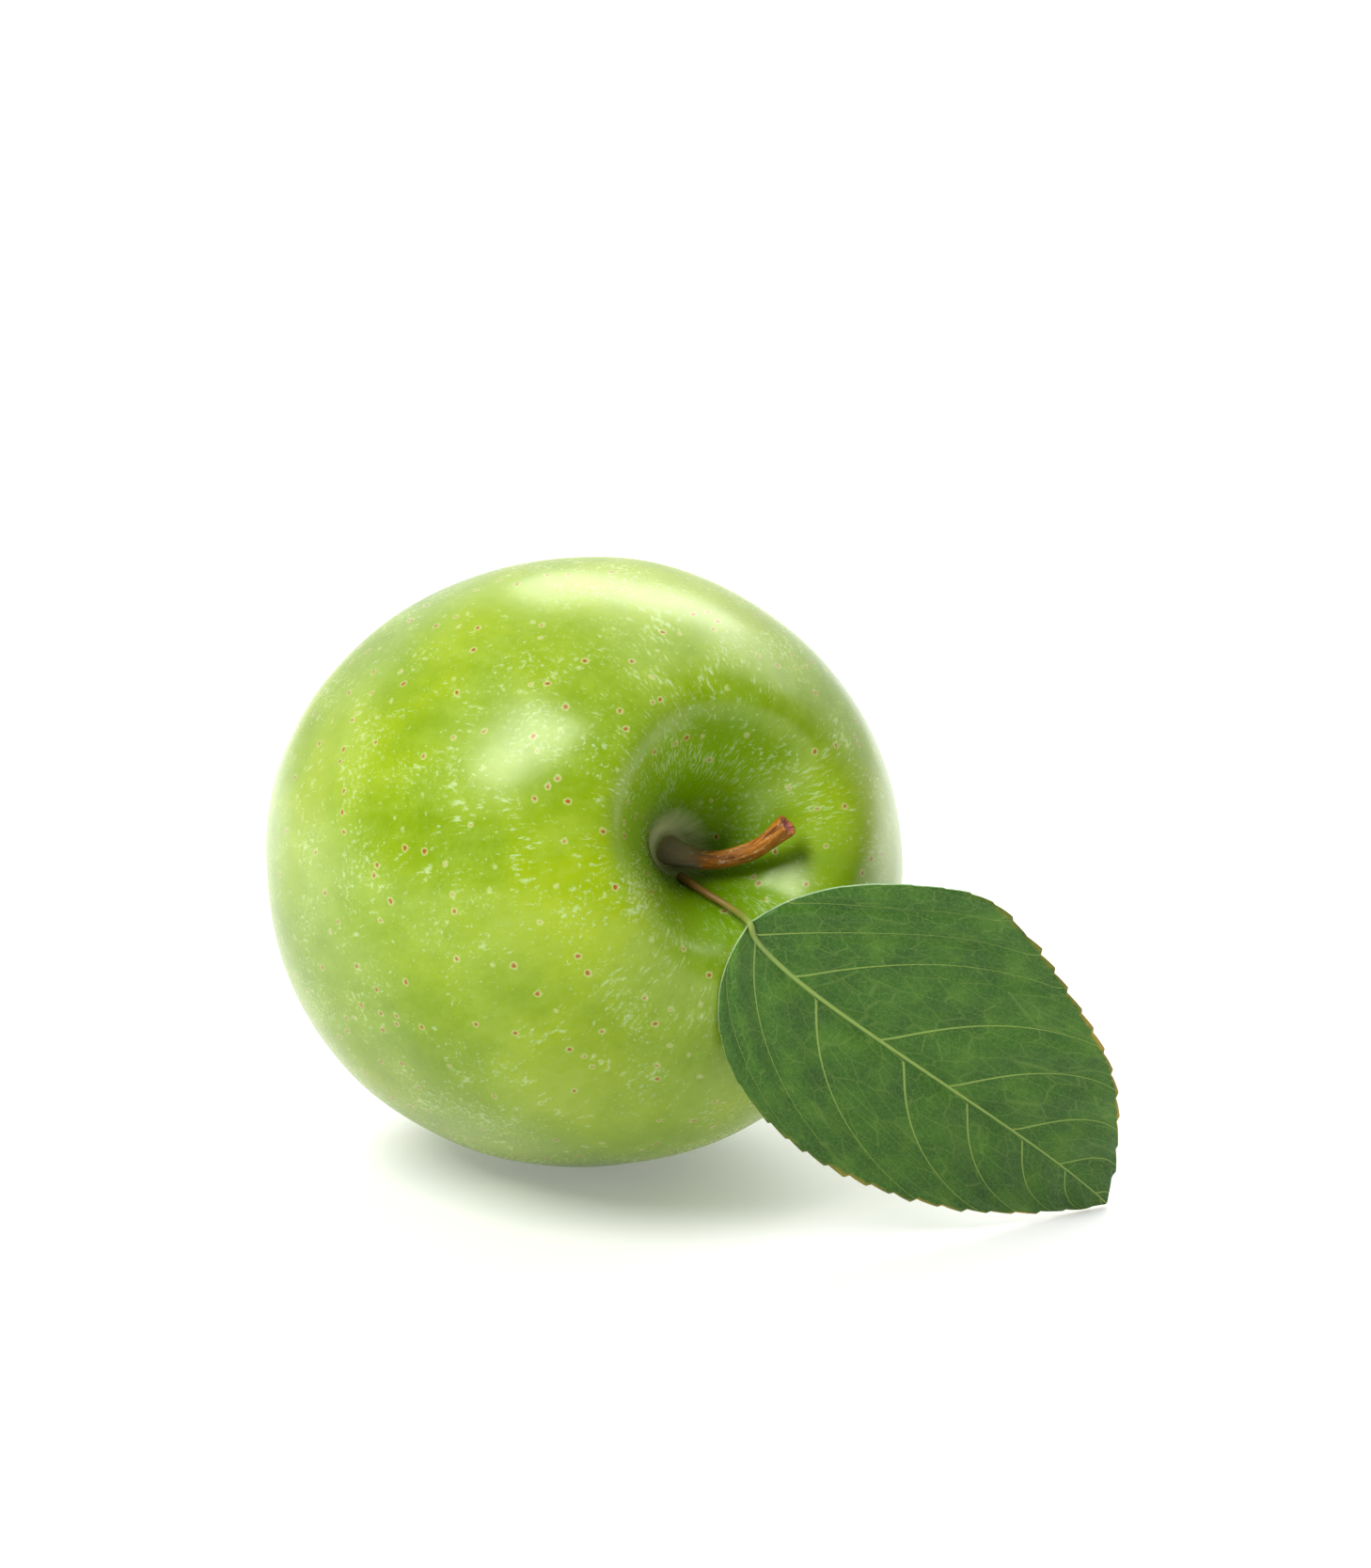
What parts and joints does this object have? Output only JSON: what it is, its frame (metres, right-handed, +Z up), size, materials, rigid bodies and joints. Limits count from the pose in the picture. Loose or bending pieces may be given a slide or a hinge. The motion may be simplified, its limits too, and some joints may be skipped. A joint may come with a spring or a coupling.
{
  "type": "apple",
  "caption": "Ripe green apple lying on its side, with its woody stalk, a toothed leaf tucked in beside the stalk and the dried calyx at the other end.",
  "frame": {"origin": "centre of the small flat spot on the underside that the apple rests on", "axes": "+Z is up from the surface it lies on; the stem end leans towards -Y and +X, and the calyx end points towards +Y and -X"},
  "size_m": [0.1067, 0.0828, 0.0789],
  "materials": {
    "skin": "waxy green apple skin with pale flecks and small brown dots, satin gloss",
    "stalk": "brown woody bark, dull, with a grey felted foot",
    "leaf": "dark green leaf with pale veins, dull satin",
    "calyx": "dried grey-brown sepals, felted and dull",
    "stamens": "withered dark brown flower threads, dull"
  },
  "bodies": {
    "root": {"fruit": "skin", "stalk": "stalk", "leaf": "leaf", "sepal_1": "calyx", "sepal_2": "calyx", "sepal_3": "calyx", "sepal_4": "calyx", "sepal_5": "calyx", "stamen_01": "stamens", "stamen_02": "stamens", "stamen_03": "stamens", "stamen_04": "stamens", "stamen_05": "stamens", "stamen_06": "stamens", "stamen_07": "stamens", "stamen_08": "stamens", "stamen_09": "stamens", "stamen_10": "stamens", "style_stub": "stamens"}
  },
  "joints": []
}
